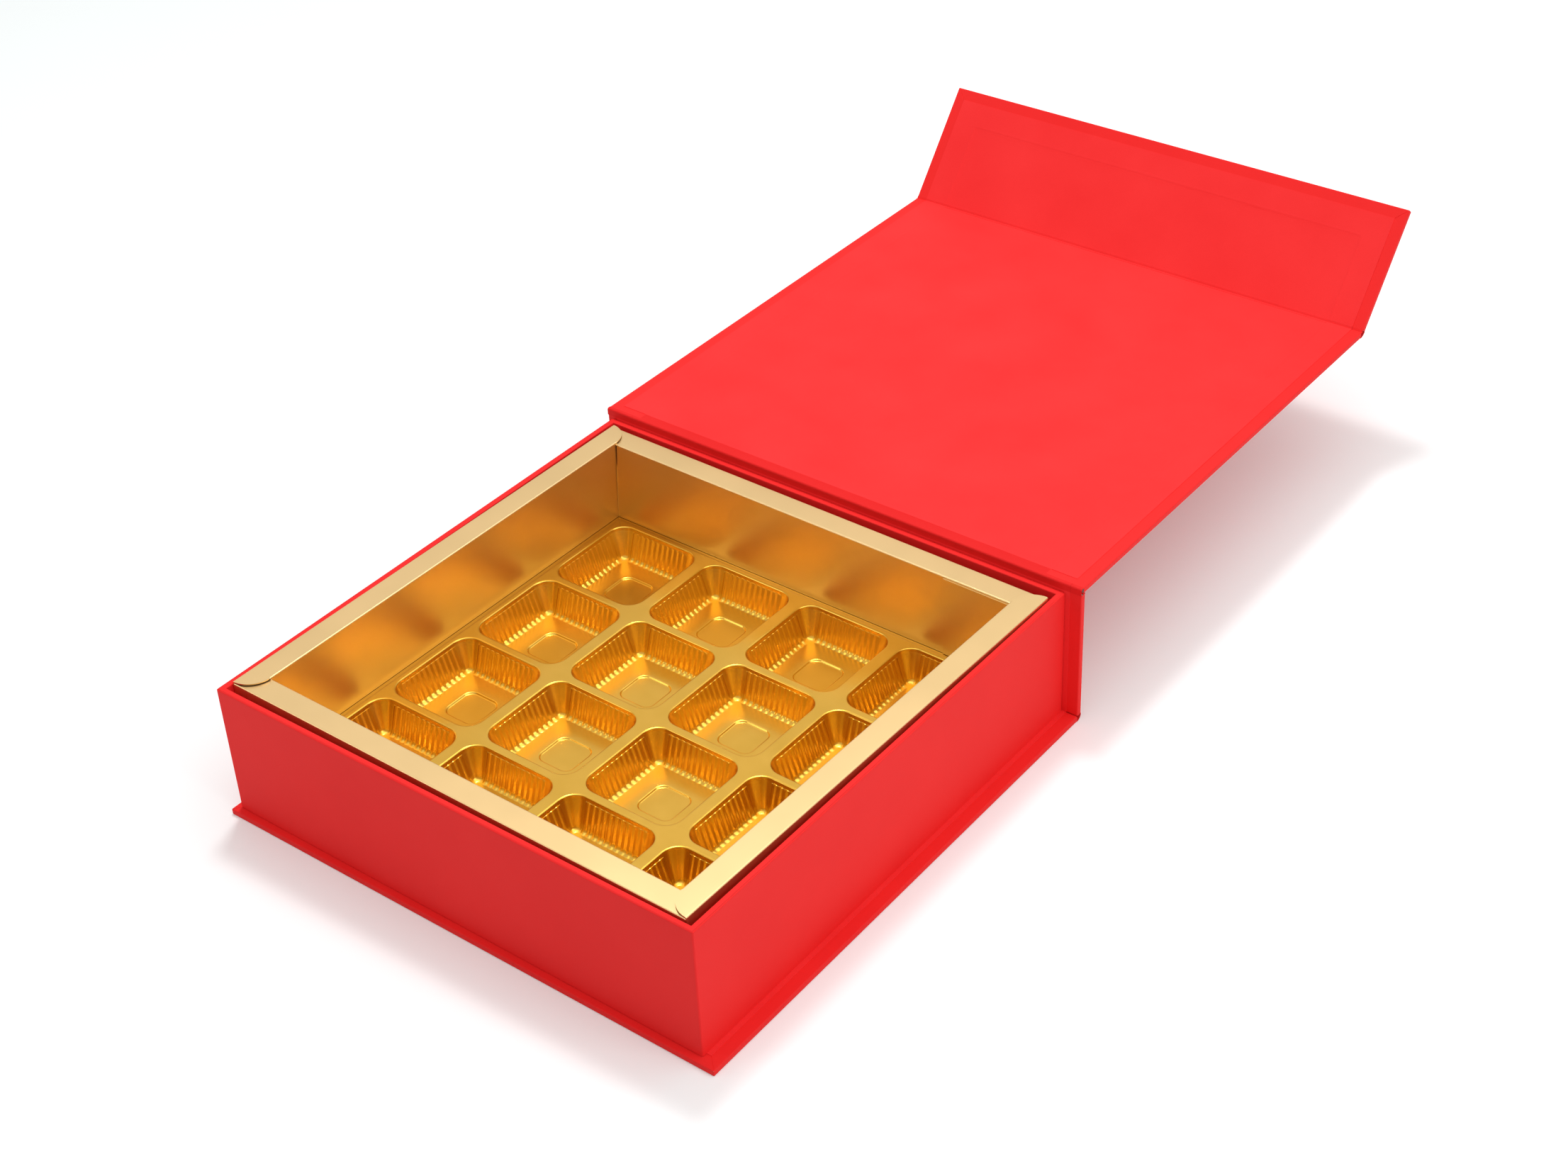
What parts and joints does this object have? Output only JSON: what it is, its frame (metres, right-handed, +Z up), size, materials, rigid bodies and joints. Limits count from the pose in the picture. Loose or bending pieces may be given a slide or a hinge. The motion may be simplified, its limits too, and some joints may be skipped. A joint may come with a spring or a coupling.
{
  "type": "rigid gift box",
  "caption": "Square book-style rigid gift box, lid hinged to open flat, folding front flap, gold card collar and a thermoformed tray of fluted square cavities.",
  "frame": {"origin": "on the underside of the base, in the middle of the case's width and of the tray's depth", "axes": "+X along the lid's hinge, left to right seen from the front; +Y from the front to the hinge and the open lid; +Z up"},
  "size_m": [0.2084, 0.4407, 0.095],
  "materials": {
    "red_paper": "matt, fine paper grain",
    "red_liner_paper": "matt, fine paper grain",
    "greyboard": "raw greyboard, hidden",
    "corner_stay_paper": "kraft tape, hidden",
    "gold_card": "metallised gold, satin",
    "gold_sheet": "metallised gold, bright",
    "nickel_magnet": "nickel plated, hidden",
    "steel": "plain steel, hidden"
  },
  "bodies": {
    "box": {"base_board": "greyboard", "base_wrap": "red_paper", "base_liner": "red_liner_paper", "spine_fold": "red_paper", "spine_board": "greyboard", "spine_wrap": "red_paper", "spine_liner": "red_liner_paper", "lid_hinge_wrap": "red_paper", "lid_hinge_liner": "red_liner_paper", "tray_floor_board": "greyboard", "tray_front_wall": "greyboard", "tray_back_wall": "greyboard", "tray_left_wall": "greyboard", "tray_right_wall": "greyboard", "tray_corner_stays": "corner_stay_paper", "tray_wrap": "red_paper", "tray_floor_liner": "red_liner_paper", "strike_plates": "steel", "insert_front_panel": "gold_card", "insert_back_panel": "gold_card", "insert_left_panel": "gold_card", "insert_right_panel": "gold_card", "insert_glue_tab": "gold_card", "cavity_tray": "gold_sheet"},
    "lid": {"lid_board": "greyboard", "lid_wrap": "red_paper", "lid_liner": "red_liner_paper", "flap_hinge_wrap": "red_paper", "flap_hinge_liner": "red_liner_paper"},
    "flap": {"flap_board": "greyboard", "flap_wrap": "red_paper", "flap_liner": "red_liner_paper", "flap_magnets": "nickel_magnet"}
  },
  "joints": [
    {"name": "lid_hinge", "type": "hinge", "parent": "box", "child": "lid", "pos_m": [0, 0.10122, 0.05543], "axis": [1, 0, 0], "range_deg": [0, 179.9], "deforming": ["lid_hinge_wrap", "lid_hinge_liner"]},
    {"name": "flap_hinge", "type": "hinge", "parent": "lid", "child": "flap", "pos_m": [0, 0.30488, 0.05543], "axis": [1, 0, 0], "range_deg": [-50.3, 39.7], "deforming": ["flap_hinge_wrap", "flap_hinge_liner"]}
  ]
}
